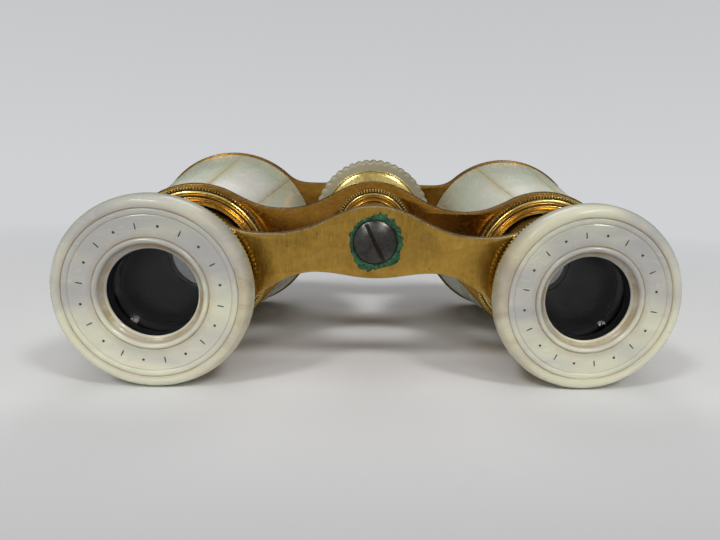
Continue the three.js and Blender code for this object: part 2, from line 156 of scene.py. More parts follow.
world = bpy.data.worlds.new("studio")
bpy.context.scene.world = world
world.use_nodes = True
tree = world.node_tree
tree.nodes.clear()
toward = step(tree, "SeparateXYZ", {0: step(tree, "TexCoord").outputs["Generated"]}).outputs
wall = spread(tree, toward["Y"], -0.7, 0.6, 0.40, 0.12)
ceiling = spread(tree, toward["Z"], 0.15, 0.9)
glow = blended(tree, ceiling, grey(tree, wall), (0.16, 0.163, 0.168, 1))
backdrop = blended(tree, spread(tree, toward["Z"], 0.0, 0.3), SURROUND, (0.55, 0.555, 0.57, 1))
seen = blended(tree, step(tree, "LightPath").outputs["Is Camera Ray"], glow, backdrop)
room = step(tree, "Background", {"Color": seen, "Strength": 1.0})
step(tree, "OutputWorld", {"Surface": room.outputs[0]})


def lamp(name, azimuth, elevation, distance, size, power):
    """A square soft light, seen from the glasses at an angle from straight before them."""
    light = bpy.data.lights.new(name, "AREA")
    light.size = size
    light.energy = power
    a, e = math.radians(azimuth), math.radians(elevation)
    away = Vector((math.sin(a) * math.cos(e), -math.cos(a) * math.cos(e), math.sin(e)))
    made = bpy.data.objects.new(name, light)
    bpy.context.scene.collection.objects.link(made)
    aim = away.to_track_quat("Z", "Y").to_matrix().to_4x4()
    made.matrix_world = Matrix.Translation(away * distance + LAMP_AIM) @ aim


lamp("overhead_light", azimuth=0, elevation=84, distance=0.9, size=0.6, power=0.9)
lamp("back_light", azimuth=180, elevation=55, distance=0.9, size=0.4, power=1.1)
lamp("left_window", azimuth=-36, elevation=42, distance=0.9, size=0.15, power=2.1)
lamp("right_window", azimuth=36, elevation=42, distance=0.9, size=0.15, power=2.1)
lamp("left_light", azimuth=-22, elevation=22, distance=0.7, size=0.09, power=0.35)
lamp("right_light", azimuth=20, elevation=24, distance=0.7, size=0.09, power=0.35)


# ---- How the glasses' finishes age ----
# Gilding and polished brass wear and tarnish in clouds, with brush lines, specks and scratches,
# and dirt gathers in their grooves. Pearl is cloudy, banded and stained along its joins.
def effect(name, inputs, outputs):
    """An empty shared effect with its named sockets, and its ends inside."""
    tree = bpy.data.node_groups.new(name, "ShaderNodeTree")
    for label, kind in inputs.items():
        tree.interface.new_socket(label, in_out="INPUT", socket_type="NodeSocket" + kind)
    for label, kind in outputs.items():
        tree.interface.new_socket(label, in_out="OUTPUT", socket_type="NodeSocket" + kind)
    return tree, step(tree, "NodeGroupInput").outputs


def millimetres(tree, scale=1000.0):
    spot = step(tree, "TexCoord").outputs["Object"]
    return step(tree, "VectorMath", {0: spot, "Scale": scale}, operation="SCALE").outputs[0]


def sum_of(tree, operation, first, second=0.0):
    """Two values added, multiplied or put through another operation."""
    return step(tree, "Math", {0: first, 1: second}, operation=operation).outputs[0]


worn_metal, given = effect(
    "worn_metal",
    {
        "Bright": "Color", "Tarnished": "Color", "Dirt": "Color", "Rim wear and shade": "Color",
        "Grain": "Vector", "Smooth": "Float", "Dull": "Float", "Tarnish": "Float",
    },
    {"Color": "Color", "Roughness": "Float", "Height": "Float"},
)
tree = worn_metal
place = millimetres(tree)
cloud = step(tree, "TexNoise", {"Vector": place, "Scale": 0.14, "Detail": 5.0, "Roughness": 0.6,
                                "Distortion": 0.6}).outputs[0]
mottle = step(tree, "TexNoise", {"Vector": place, "Scale": 0.9, "Detail": 4.0,
                                 "Roughness": 0.65}).outputs[0]
grained = step(tree, "VectorMath", {0: place, 1: given["Grain"]}, operation="MULTIPLY").outputs[0]
brush = step(tree, "TexNoise", {"Vector": grained, "Scale": 1.0, "Detail": 3.0,
                                "Roughness": 0.7}).outputs[0]
speck_noise = step(tree, "TexNoise", {"Vector": place, "Scale": 2.6, "Detail": 2.0}).outputs[0]
specks = spread(tree, speck_noise, 0.67, 0.75)
line_noise = step(tree, "TexNoise", {"Vector": place, "Scale": 0.27, "Detail": 1.0,
                                     "Distortion": 1.6}).outputs[0]
off_line = sum_of(tree, "ABSOLUTE", sum_of(tree, "SUBTRACT", line_noise, 0.5))
line = spread(tree, off_line, 0.0, 0.0035, 1.0, 0.0)
scratches = sum_of(tree, "MULTIPLY", line, spread(tree, mottle, 0.5, 0.62))
groove = step(tree, "Attribute", attribute_name="dirt").outputs["Fac"]
rim = step(tree, "Attribute", attribute_name="rim").outputs["Fac"]

aged = spread(tree, sum_of(tree, "ADD", cloud, given["Tarnish"]), 0.45, 0.75)
tint = blended(tree, aged, given["Bright"], given["Tarnished"])
lines = grey(tree, spread(tree, brush, 0.3, 0.7, 0.86, 1.08))
tint = blended(tree, 1.0, tint, lines, "MULTIPLY")
patches = grey(tree, spread(tree, mottle, 0.35, 0.7, 0.84, 1.1))
tint = blended(tree, 1.0, tint, patches, "MULTIPLY")
# the plate edges take the rim tint: rubbed wear on the ocular bridge, painted shade on the gilt
# bridges
tint = blended(tree, sum_of(tree, "MULTIPLY", rim, spread(tree, mottle, 0.3, 0.6)), tint,
               given["Rim wear and shade"])
tint = blended(tree, sum_of(tree, "MULTIPLY", specks, 0.7), tint, given["Dirt"])
tint = blended(tree, sum_of(tree, "MULTIPLY", scratches, 0.45), tint, given["Dirt"])
filled = sum_of(tree, "MULTIPLY", groove, spread(tree, mottle, 0.3, 0.55, 0.75, 1.0))
tint = blended(tree, filled, tint, given["Dirt"])
sheen = spread(tree, sum_of(tree, "ADD", sum_of(tree, "MULTIPLY", cloud, 0.6),
                            sum_of(tree, "MULTIPLY", brush, 0.4)), 0.35, 0.65)
rough = sum_of(tree, "ADD", given["Smooth"], sum_of(
    tree, "MULTIPLY", sheen, sum_of(tree, "SUBTRACT", given["Dull"], given["Smooth"])))
rough = sum_of(tree, "ADD", rough, sum_of(tree, "MULTIPLY", filled, 0.35))
height = sum_of(tree, "ADD", sum_of(tree, "MULTIPLY", brush, 0.35),
                sum_of(tree, "MULTIPLY", cloud, 0.8))
height = sum_of(tree, "SUBTRACT", height, sum_of(tree, "MULTIPLY", scratches, 0.5))
height = sum_of(tree, "SUBTRACT", height, sum_of(tree, "MULTIPLY", specks, 0.3))
step(tree, "NodeGroupOutput", {"Color": tint, "Roughness": rough, "Height": height})


def surface(tree, sockets):
    """The shader that ends a finish, with its plain values and its inputs."""
    shader = step(tree, "BsdfPrincipled", sockets)
    step(tree, "OutputMaterial", {"Surface": shader.outputs[0]})


def worn_brass(name, bright, tarnished, rim_wear_and_shade, smooth, dull, tarnish=0.0,
               grain=(2.5, 2.5, 2.5), dirt=(0.018, 0.012, 0.006), relief=0.00002):
    """A gilt or polished brass finish from the shared worn metal."""
    made, tree = material(name)
    worn = step(tree, "Group", {}, node_tree=worn_metal)
    for label, value in {"Bright": bright, "Tarnished": tarnished, "Dirt": dirt,
                         "Rim wear and shade": rim_wear_and_shade}.items():
        worn.inputs[label].default_value = (*value, 1)
    worn.inputs["Grain"].default_value = grain
    for label, value in {"Smooth": smooth, "Dull": dull, "Tarnish": tarnish}.items():
        worn.inputs[label].default_value = value
    bump = step(tree, "Bump", {"Height": worn.outputs["Height"], "Distance": relief,
                               "Strength": 0.7})
    surface(tree, {
        "Base Color": worn.outputs["Color"], "Roughness": worn.outputs["Roughness"],
        "Metallic": 1.0, "Normal": bump.outputs[0],
    })
    return made


pearl_body, given = effect(
    "pearl_body",
    {
        "Light": "Color", "Shaded": "Color", "Tan": "Color", "Stretch": "Vector",
        "Tone": "Float",
    },
    {"Color": "Color", "Roughness": "Float", "Height": "Float", "Shimmer": "Float"},
)
tree = pearl_body
place = millimetres(tree)
toned = step(tree, "VectorMath", {0: place, 1: given["Stretch"]}, operation="MULTIPLY").outputs[0]
apart = step(tree, "VectorMath", {0: (37.0, 91.0, 53.0), "Scale": given["Tone"]},
             operation="SCALE").outputs[0]
toned = step(tree, "VectorMath", {0: toned, 1: apart}, operation="ADD").outputs[0]
clouds = step(tree, "TexNoise", {"Vector": toned, "Scale": 0.09, "Detail": 2.0,
                                 "Roughness": 0.5, "Distortion": 0.5}).outputs[0]
bands = step(tree, "TexNoise", {"Vector": toned, "Scale": 0.3, "Detail": 3.0,
                                "Roughness": 0.5, "Distortion": 0.8}).outputs[0]
stain_and_painted_shade = step(tree, "Attribute", attribute_name="dirt").outputs["Fac"]
# painted shade from the eyecups, greyer towards their tops and lighter on their rims
painted_shade = step(tree, "Attribute", attribute_name="painted_shade").outputs["Fac"]
shaded = sum_of(tree, "ADD", spread(tree, clouds, 0.34, 0.68), painted_shade)
tint = blended(tree, shaded, given["Light"], given["Shaded"])
pale = grey(tree, spread(tree, bands, 0.35, 0.65, 0.975, 1.02))
tint = blended(tree, 1.0, tint, pale, "MULTIPLY")
# tan from real stains and dirt, and on the eyecups' inboard rims also from painted shade and
# reflection
tan_stain_and_shade = sum_of(tree, "MULTIPLY", stain_and_painted_shade, spread(tree, bands, 0.32, 0.6, 0.25, 1.0))
tint = blended(tree, tan_stain_and_shade, tint, given["Tan"])
rough = sum_of(tree, "ADD", spread(tree, bands, 0.3, 0.7, 0.2, 0.3),
               sum_of(tree, "MULTIPLY", tan_stain_and_shade, 0.2))
height = sum_of(tree, "ADD", sum_of(tree, "MULTIPLY", bands, 0.1),
                sum_of(tree, "MULTIPLY", clouds, 0.25))
shimmer = spread(tree, clouds, 0.4, 0.62)
step(tree, "NodeGroupOutput", {"Color": tint, "Roughness": rough, "Height": height,
                               "Shimmer": shimmer})


def pearl(name, light, shaded, tan, stretch, glint, gloss=0.5):
    """Mother-of-pearl: cloudy and pale, with a faint pink and green play at a glance."""
    made, tree = material(name)
    body = step(tree, "Group", {}, node_tree=pearl_body)
    for label, value in {"Light": light, "Shaded": shaded, "Tan": tan}.items():
        body.inputs[label].default_value = (*value, 1)
    body.inputs["Stretch"].default_value = stretch
    tone = step(tree, "Attribute", attribute_name="tone").outputs["Fac"]
    tree.links.new(tone, body.inputs["Tone"])
    facing = step(tree, "LayerWeight", {"Blend": 0.35}).outputs["Facing"]
    play = sum_of(tree, "ADD", facing, sum_of(tree, "MULTIPLY", body.outputs["Shimmer"], 0.45))
    pink = blended(tree, spread(tree, play, 0.15, 0.5), (1.0, 1.0, 0.97, 1),
                   (0.96, 0.945, 1.0, 1))
    green = blended(tree, spread(tree, play, 0.5, 1.0), pink, (0.93, 1.0, 0.92, 1))
    tint = blended(tree, 1.0, body.outputs["Color"], green, "MULTIPLY")
    bump = step(tree, "Bump", {"Height": body.outputs["Height"], "Distance": 0.00003,
                               "Strength": 0.6})
    surface(tree, {
        "Base Color": tint, "Roughness": body.outputs["Roughness"],
        "Normal": bump.outputs[0], "Coat Weight": glint, "Coat Roughness": 0.06,
        "Subsurface Weight": 0.12, "Subsurface Scale": 0.0015, "IOR": 1.5,
        "Specular IOR Level": gloss,
    })
    return made


# ---- Barrels ----
# Two tapering brass tubes drawn from sheet and blackened, hidden under the pearl. The stops
# soldered inside the ends of the draw tubes are as dark.
lampblack, tree = material("lampblack")
place = millimetres(tree)
soot = step(tree, "TexNoise", {"Vector": place, "Scale": 1.4, "Detail": 4.0}).outputs[0]
surface(tree, {
    "Base Color": blended(tree, soot, (0.005, 0.005, 0.005, 1), (0.015, 0.0145, 0.0145, 1)),
    "Roughness": spread(tree, soot, 0.3, 0.7, 0.5, 0.75), "Metallic": 0.0,
    "Specular IOR Level": 0.2,
})


def repaint(node, finish):
    for painted in frame["nodes"][node].material_slots:
        painted.material = finish


for side in SIDES:
    repaint("barrel_" + side, lampblack)
    repaint("draw_tube_stop_" + side, lampblack)


# ---- Pearl slips ----
# Nine tapering slips of mother-of-pearl cover each barrel, cut from shell, ground to the
# curve and cemented edge to edge. Tan cement shows along the hairline joins.
SLIPS = 9
FIRST_JOIN = {"left": 4, "right": 34}  # degrees from the right
HAIRLINE = 0.08  # degrees left open at each join
STAIN_WIDTH = 11  # degrees on each side of a join
SLIP_PROFILE = [(12.0, 25.0), (12.9, 25.0), (17.2, 55.5), (16.3, 55.5)]

slip_pearl = pearl(
    "slip_pearl", light=(0.70, 0.69, 0.59), shaded=(0.60, 0.59, 0.49), tan=(0.48, 0.40, 0.24),
    stretch=(1.0, 0.45, 1.0), glint=0.0, gloss=0.2,
)


def turn(profile, steps, sweep=360.0, start=0.0):
    """A closed profile of corners turned about the Y axis.

    A corner is its radius and Y, then how far it is rounded and how dirty it is, if it is."""
    bm = bmesh.new()
    dirt = bm.verts.layers.float.new("dirt")
    corners = []
    rounded = {}
    for radius, y, *rest in profile:
        corner = bm.verts.new((radius, y, 0))
        corner[dirt] = rest[1] if len(rest) > 1 else 0.0
        corners.append(corner)
        if rest and rest[0] > 0:
            rounded.setdefault(rest[0], []).append(corner)
    for first, second in zip(corners, corners[1:] + corners[:1]):
        if first.co.x or second.co.x:
            bm.edges.new((first, second))
    for size, group in rounded.items():
        bmesh.ops.bevel(bm, geom=group, offset=size, offset_type="OFFSET", segments=3,
                        profile=0.5, affect="VERTICES", material=-1)
    bmesh.ops.rotate(bm, verts=bm.verts, matrix=Matrix.Rotation(math.radians(-start), 3, "Y"))
    bmesh.ops.spin(bm, geom=bm.verts[:] + bm.edges[:], cent=(0, 0, 0), axis=(0, -1, 0),
                   angle=math.radians(sweep), steps=steps, use_merge=sweep == 360)
    return bm


def shift(bm, x, z=0.0):
    bmesh.ops.translate(bm, verts=bm.verts, vec=(x, 0, z))


def fit(bm, name, finishes, body, nodes, crease=35):
    """Sets a finished piece in its place on the glasses, on the body that carries it."""
    bmesh.ops.remove_doubles(bm, verts=bm.verts, dist=0.0005)
    bmesh.ops.recalc_face_normals(bm, faces=bm.faces)
    bmesh.ops.transform(bm, matrix=STANDING, verts=bm.verts)
    made = bpy.data.meshes.new(name)
    bm.to_mesh(made)
    bm.free()
    made.shade_smooth()
    made.set_sharp_from_angle(angle=math.radians(crease))
    for finish in finishes:
        made.materials.append(finish)
    piece = bpy.data.objects.new(name, made)
    bpy.context.scene.collection.objects.link(piece)
    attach(piece, body)
    if nodes:
        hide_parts(*nodes)
    return piece


tones = random.Random(9)
for side, x in SIDES.items():
    for number in range(SLIPS):
        sector = 360 / SLIPS
        bm = turn(SLIP_PROFILE, 10, sector - HAIRLINE,
                  FIRST_JOIN[side] + number * sector + HAIRLINE / 2)
        dirt = bm.verts.layers.float["dirt"]
        first_join = FIRST_JOIN[side] + number * sector
        for vert in bm.verts:
            around = (math.degrees(math.atan2(vert.co.z, vert.co.x)) - first_join) % sector
            to_join = min(around, sector - around)
            vert[dirt] = max(0, 1 - to_join / STAIN_WIDTH) ** 2
        bmesh.ops.holes_fill(bm, edges=bm.edges, sides=0)
        sharp = [e for e in bm.edges if len(e.link_faces) == 2 and e.calc_face_angle() > 1]
        bmesh.ops.bevel(bm, geom=sharp, offset=0.07, offset_type="OFFSET", segments=2,
                        profile=0.5, affect="EDGES", material=-1)
        tone = bm.verts.layers.float.new("tone")
        own_tone = tones.random()
        for vert in bm.verts:
            vert[tone] = own_tone
        shift(bm, x)
        node = f"pearl_slip_{side}_{number + 1}"
        fit(bm, "cut_" + node, [slip_pearl], "frame", [node])


# ---- Objectives ----
# Each objective is a crown and a flint lens in a turned brass cell that screws into the front
# plate. A thin ring holds them, and the cell's bright rim has a bead and a milled edge.
bright_brass = worn_brass(
    "polished_brass", bright=(0.98, 0.76, 0.27), tarnished=(0.78, 0.57, 0.17),
    rim_wear_and_shade=(0.95, 0.78, 0.42), smooth=0.16, dull=0.26, tarnish=-0.08, relief=0.000003,
)


def mill(bm, steps, pitch, inner, outer, rear, front, sink, inward):
    """Cuts every pitch-th step of a turned band back, which leaves a row of teeth."""
    dirt = bm.verts.layers.float["dirt"]
    for vert in bm.verts:
        radius = math.hypot(vert.co.x, vert.co.z)
        if not (inner <= radius <= outer and rear <= vert.co.y <= front):
            continue
        turn_share = math.atan2(vert.co.z, vert.co.x) / (2 * math.pi)
        if round(turn_share * steps) % pitch == 0:
            vert.co.y += sink
            vert.co.x *= 1 - inward / radius
            vert.co.z *= 1 - inward / radius
            vert[dirt] = 1.0


def fit_pair(bm, name, finishes, body, node):
    """Fits the same piece on both optical axes."""
    for side, x in SIDES.items():
        placed = bm.copy()
        shift(placed, x)
        fit(placed, f"{name}_{side}", finishes, body, [f"{node}_{side}"])
    bm.free()


CELL_TEETH = 130
bm = turn([
    (13.3, 54.2), (14.8, 54.2, 0.1), (14.8, 57.9), (15.7, 57.9, 0.1), (16.1, 58.1),
    (16.1, 59.0), (15.98, 59.1, 0, 0.8), (16.1, 59.2), (16.1, 60.0, 0.1),
    (15.9, 60.5, 0.2), (15.3, 60.9, 0.3), (14.9, 60.6, 0, 0.6), (14.6, 60.8, 0.15),
    (14.1, 60.4, 0.1), (14.1, 54.9), (13.3, 54.9),
], CELL_TEETH * 3)
mill(bm, CELL_TEETH * 3, pitch=3, inner=16.0, outer=16.2, rear=58.0, front=59.05, sink=0,
     inward=0.12)
fit_pair(bm, "turned_objective_cell", [bright_brass], "frame", "objective_cell")
bm = turn([(13.3, 59.2), (13.8, 59.2), (13.8, 60.0), (13.5, 60.0, 0.1), (13.3, 59.7)], 96)
fit_pair(bm, "turned_objective_retainer", [lampblack], "frame", "objective_retainer")


def lens_glass(name, tint, bending):
    """Clear old glass with a little dust on it."""
    made, tree = material(name)
    dust = step(tree, "TexNoise", {"Vector": millimetres(tree), "Scale": 3.0,
                                   "Detail": 1.0}).outputs[0]
    surface(tree, {
        "Base Color": (*tint, 1), "Roughness": spread(tree, dust, 0.5, 0.8, 0.0, 0.08),
        "Transmission Weight": 1.0, "IOR": bending, "Metallic": 0.0, "Specular IOR Level": 0.1,
    })
    return made


smoky_glass = lens_glass("objective_glass", tint=(0.60, 0.60, 0.61), bending=1.5)
LENS_STEPS = 8


def lens(radius, rear, rear_depth, front, front_depth):
    """A lens between two curved faces, each left by its middle by a depth along Y."""
    shares = [number / LENS_STEPS for number in range(LENS_STEPS + 1)]
    near = [(share * radius, rear + rear_depth * (1 - share**2)) for share in shares]
    far = [(share * radius, front + front_depth * (1 - share**2)) for share in shares]
    return turn(near + far[::-1], 64)


flint = lens(radius=13.8, rear=55.2, rear_depth=0.5, front=57.6, front_depth=-1.2)
fit_pair(flint, "ground_objective_flint", [smoky_glass], "frame", "objective_flint")
crown = lens(radius=13.8, rear=57.9, rear_depth=-1.2, front=58.9, front_depth=1.6)
fit_pair(crown, "ground_objective_crown", [smoky_glass], "frame", "objective_crown")


# ---- Front and middle bridges ----
# Two plates sawn from sheet brass, filed to flowing edges and gilded: an eye-shaped ring round
# each barrel, drawn in to a waist and swelling again round the focusing axis.
# A dark orange-brown gilt, darkened further as painted shade for the bridges that stand in
# shadow. Its dark olive rim tint is painted shade that dulls the highlight on the plate edges.
gilding_with_painted_shade = worn_brass(
    "gilding_with_painted_shade", bright=(0.43, 0.215, 0.036), tarnished=(0.28, 0.13, 0.022),
    rim_wear_and_shade=(0.17, 0.115, 0.045), smooth=0.2, dull=0.32, tarnish=0.03, grain=(1.2, 3.0, 1.8),
    relief=0.000005,
)
PLATE = 1.8
RING_ARCS = 4

# How far the outline's curves reach from each knot, as shares of the widths between knots.
HUMP_REACH, WAIST_REACH, RISE_REACH, FALL_REACH, CREST_REACH = 0.39, 0.48, 0.4, 0.35, 0.4


def arc_reach(span):
    """How far a curve's handle reaches along an arc of radius 1 that turns by an angle."""
    return 4 / 3 * math.tan(span / 4)


def bridge(ring, hump, waist_gap, waist_rise, top_join, crest_share, crest_drop, low_join,
           holes, rear, edge):
    """A bridge plate: its outline from two rings, a hump and the curves that join them."""
    curve = bpy.data.curves.new("bridge", "CURVE")
    curve.dimensions = "2D"
    curve.fill_mode = "BOTH"
    curve.resolution_u = 20
    curve.extrude = PLATE / 2 - edge
    curve.bevel_depth = edge
    curve.bevel_resolution = 2
    curve.offset = -edge

    def round_ring(angle):
        a = math.radians(angle)
        at = Vector((EYE_X + ring * math.cos(a), ring * math.sin(a)))
        return at, Vector((math.sin(a), -math.cos(a)))

    waist = Vector((EYE_X - ring - waist_gap, COLUMN_Z + waist_rise))
    crest = Vector((waist.x * crest_share, COLUMN_Z - crest_drop))
    top = round_ring(top_join)[0]
    low = round_ring(low_join)[0]
    rise = (top.x - waist.x) * RISE_REACH
    fall = (low.x - crest.x) * FALL_REACH
    level = Vector((1, 0))
    knots = [
        (Vector((0, COLUMN_Z + hump)), level, waist.x * HUMP_REACH, waist.x * HUMP_REACH),
        (waist, level, waist.x * WAIST_REACH, rise),
    ]
    span = math.radians(top_join - low_join) / RING_ARCS
    reach = arc_reach(span) * ring
    for number in range(RING_ARCS + 1):
        at, along = round_ring(top_join + (low_join - top_join) * number / RING_ARCS)
        before = rise if number == 0 else reach
        after = fall if number == RING_ARCS else reach
        knots.append((at, along, before, after))
    under = crest.x * CREST_REACH
    knots.append((crest, -level, fall, under))
    knots.append((Vector((0, COLUMN_Z - hump)), -level, under, under))
    flip = Vector((-1, 1))
    mirrored = [(at * flip, Vector((along.x, -along.y)), after, before)
                for at, along, before, after in knots[-2:0:-1]]
    add_loop(curve, knots + mirrored)
    for x, z, radius in holes:
        quarter = math.pi / 2
        corners = [Vector((math.cos(quarter * number), math.sin(quarter * number)))
                   for number in range(4)]
        reach = arc_reach(quarter) * radius
        add_loop(curve, [(Vector((x, z)) + corner * radius, Vector((-corner.y, corner.x)),
                          reach, reach) for corner in corners])
    made = bpy.data.objects.new("bridge", curve)
    bpy.context.scene.collection.objects.link(made)
    shape = bpy.data.meshes.new_from_object(made.evaluated_get(
        bpy.context.evaluated_depsgraph_get()))
    bpy.data.objects.remove(made)
    bm = bmesh.new()
    bm.from_mesh(shape)
    bmesh.ops.rotate(bm, verts=bm.verts, matrix=Matrix.Rotation(math.pi / 2, 3, "X"))
    bmesh.ops.translate(bm, verts=bm.verts, vec=(0, rear + PLATE / 2, 0))
    bmesh.ops.remove_doubles(bm, verts=bm.verts, dist=0.001)
    bmesh.ops.dissolve_limit(bm, angle_limit=0.0005, verts=bm.verts, edges=bm.edges)
    rim = bm.verts.layers.float.new("rim")
    for vert in bm.verts:
        on_face = min(abs(vert.co.y - rear), abs(vert.co.y - rear - PLATE)) < 0.001
        vert[rim] = 0.0 if on_face else 1.0
    return bm


def add_loop(curve, knots):
    """A closed flowing line through knots, each a place, a direction and its two reaches."""
    line = curve.splines.new("BEZIER")
    line.bezier_points.add(len(knots) - 1)
    line.use_cyclic_u = True
    for point, (at, along, before, after) in zip(line.bezier_points, knots):
        point.handle_left_type = point.handle_right_type = "FREE"
        point.co = (*at, 0)
        point.handle_left = (*(at - along * before), 0)
        point.handle_right = (*(at + along * after), 0)


bm = bridge(ring=17.65, hump=7.8, waist_gap=1.35, waist_rise=4.7, top_join=132,
            crest_share=0.6, crest_drop=8.65, low_join=-138, rear=55.8, edge=0.3,
            holes=[(-EYE_X, 0, 15.3), (EYE_X, 0, 15.3), (0, COLUMN_Z, 4.5)])
fit(bm, "sawn_front_bridge", [gilding_with_painted_shade], "frame", ["front_bridge"], crease=20)
bm = bridge(ring=13.35, hump=7.8, waist_gap=1.4, waist_rise=2.67, top_join=118,
            crest_share=0.56, crest_drop=6.55, low_join=-142, rear=22.9, edge=0.3,
            holes=[(-EYE_X, 0, 10.65), (EYE_X, 0, 10.65), (0, COLUMN_Z, 5.7)])
fit(bm, "sawn_middle_bridge", [gilding_with_painted_shade], "frame", ["middle_bridge"], crease=20)


# ---- Draw-tube guides ----
# The collars screwed to the middle bridge, turned from brass with a milled edge, a bright
# bead, a sunk line and a land. Their sleeves guide the draw tubes.
collar_brass = worn_brass(
    "collar_brass", bright=(0.84, 0.63, 0.22), tarnished=(0.58, 0.40, 0.115),
    rim_wear_and_shade=(0.80, 0.66, 0.34), smooth=0.16, dull=0.26, relief=0.000002,
)
GUIDE_TEETH = 150


def blacken_inside(bm, radius):
    """Gives the faces of a tube that lie inside a radius the second finish."""
    for face in bm.faces:
        middle = face.calc_center_median()
        if math.hypot(middle.x, middle.z) < radius:
            face.material_index = 1


bm = turn([
    (9.75, 32.7), (9.75, 21.7), (9.82, 21.55),
    (10.36, 21.55), (10.42, 21.75, 0, 1), (10.48, 21.5), (10.82, 21.4, 0, 0.2),
    (10.9, 21.22, 0.06), (11.08, 21.22, 0.06), (11.12, 21.5, 0, 0.8), (11.22, 21.55, 0, 1),
    (11.35, 21.4, 0, 0.3), (11.48, 21.14, 0.15), (12.15, 21.12, 0.25), (12.3, 21.6, 0, 1),
    (12.38, 21.5, 0, 0.9), (12.44, 21.34), (12.7, 21.36), (12.76, 21.5, 0, 0.4),
    (12.95, 21.5), (12.95, 22.6, 0.1), (10.35, 22.6), (10.35, 32.7),
], GUIDE_TEETH * 3)
mill(bm, GUIDE_TEETH * 3, pitch=3, inner=12.4, outer=12.73, rear=21.3, front=21.4, sink=0.25,
     inward=0)
# painted shade: the guide's bore is blackened so the gap round each draw tube shows dark
blacken_inside(bm, 9.8)
fit_pair(bm, "turned_draw_tube_guide", [collar_brass, lampblack], "frame", "draw_tube_guide")


# ---- Focusing centre on the fixed frame ----
# A small milled collar in the middle bridge guides the column, and a flanged bush in the
# front bridge carries the spindle.
COLUMN_TEETH = 80
bm = turn([
    (4.8, 24.4), (4.8, 22.4), (4.5, 22.2), (4.5, 21.5, 0.06), (4.66, 21.46, 0.04),
    (4.74, 21.64, 0, 0.5), (5.04, 21.6), (5.1, 21.7, 0, 0.8), (5.16, 21.6, 0, 0.3),
    (5.26, 21.35, 0.1), (5.84, 21.32, 0.14), (5.98, 21.75, 0, 1), (6.06, 21.7, 0, 0.6),
    (6.1, 21.42), (6.48, 21.46), (6.6, 21.6), (6.6, 22.6, 0.1), (5.4, 22.6), (5.4, 24.4),
], COLUMN_TEETH * 3)
mill(bm, COLUMN_TEETH * 3, pitch=3, inner=6.08, outer=6.7, rear=21.4, front=21.65, sink=0.3,
     inward=0.08)
shift(bm, 0, COLUMN_Z)
fit(bm, "turned_column_guide", [collar_brass], "frame", ["column_guide"])
bm = turn([
    (2.3, 55.8), (4.2, 55.8, 0.1), (4.2, 57.9), (5.2, 57.9, 0.1), (5.2, 58.6, 0.25),
    (4.4, 58.6), (4.3, 58.5, 0, 0.8), (4.2, 58.6), (2.3, 58.6, 0.1),
], 96)
shift(bm, 0, COLUMN_Z)
fit(bm, "turned_spindle_bearing", [bright_brass], "frame", ["spindle_bearing"])


# ---- Focusing wheel ----
# A scalloped disc of pearl between two domed brass flanges, on a brass hub that is fixed to
# the steel screw spindle. A slotted nut holds the spindle at the front.
wheel_pearl = pearl(
    "wheel_pearl", light=(0.41, 0.38, 0.25), shaded=(0.29, 0.265, 0.17), tan=(0.22, 0.16, 0.08),
    stretch=(1.0, 1.0, 1.0), glint=0.2,
)
WHEEL_TEETH = 46
WHEEL_STEPS = WHEEL_TEETH * 8
SCALLOP = 0.34  # depth of each scallop
SCALLOP_FROM = 10.5  # the scallops are cut in what lies outside this radius
bm = turn([
    (6.6, 31.8), (10.6, 31.8, 0.1), (11.07, 32.2, 0.1), (11.07, 34.8), (11.07, 37.4, 0.1),
    (10.6, 37.8, 0.1), (6.6, 37.8),
], WHEEL_STEPS)
for vert in bm.verts:
    radius = math.hypot(vert.co.x, vert.co.z)
    if radius > SCALLOP_FROM:
        half_turns = math.atan2(vert.co.z, vert.co.x) * WHEEL_TEETH / 2
        cut = SCALLOP * (1 - abs(math.sin(half_turns))) / radius
        vert.co.x *= 1 - cut
        vert.co.z *= 1 - cut
shift(bm, 0, COLUMN_Z)
fit(bm, "scalloped_wheel", [wheel_pearl], "wheel", ["focus_wheel"], crease=50)

FLANGE_BEADS = 120
for end, face, outward in (("rear", 31.5, -1), ("front", 38.1, 1)):
    bm = turn([
        (6.6, face), (9.2, face), (9.28, face + outward * 0.1),
        (9.28, face + outward * 0.3), (9.1, face + outward * 0.36, 0.04),
        (8.98, face + outward * 0.3, 0, 1), (8.88, face + outward * 0.4),
        (8.6, face + outward * 0.52, 0.15), (6.6, face + outward * 0.88),
    ], FLANGE_BEADS * 2)
    mill(bm, FLANGE_BEADS * 2, pitch=2, inner=9.05, outer=9.3, rear=30, front=40, sink=0,
         inward=0.07)
    shift(bm, 0, COLUMN_Z)
    fit(bm, "turned_wheel_flange_" + end, [bright_brass], "wheel", ["wheel_flange_" + end])
bm = turn([(4.8, 25.1), (6.3, 25.1, 0.15), (6.3, 55.4, 0.15), (4.8, 55.4)], 64)
shift(bm, 0, COLUMN_Z)
fit(bm, "turned_wheel_hub", [gilding_with_painted_shade], "wheel", ["wheel_hub"])

bm = turn([
    (1.0, 58.9), (3.8, 58.9, 0.15), (3.8, 60.3, 0.1), (3.2, 60.9, 0.3), (1.0, 60.9),
], 96)
shift(bm, 0, COLUMN_Z)


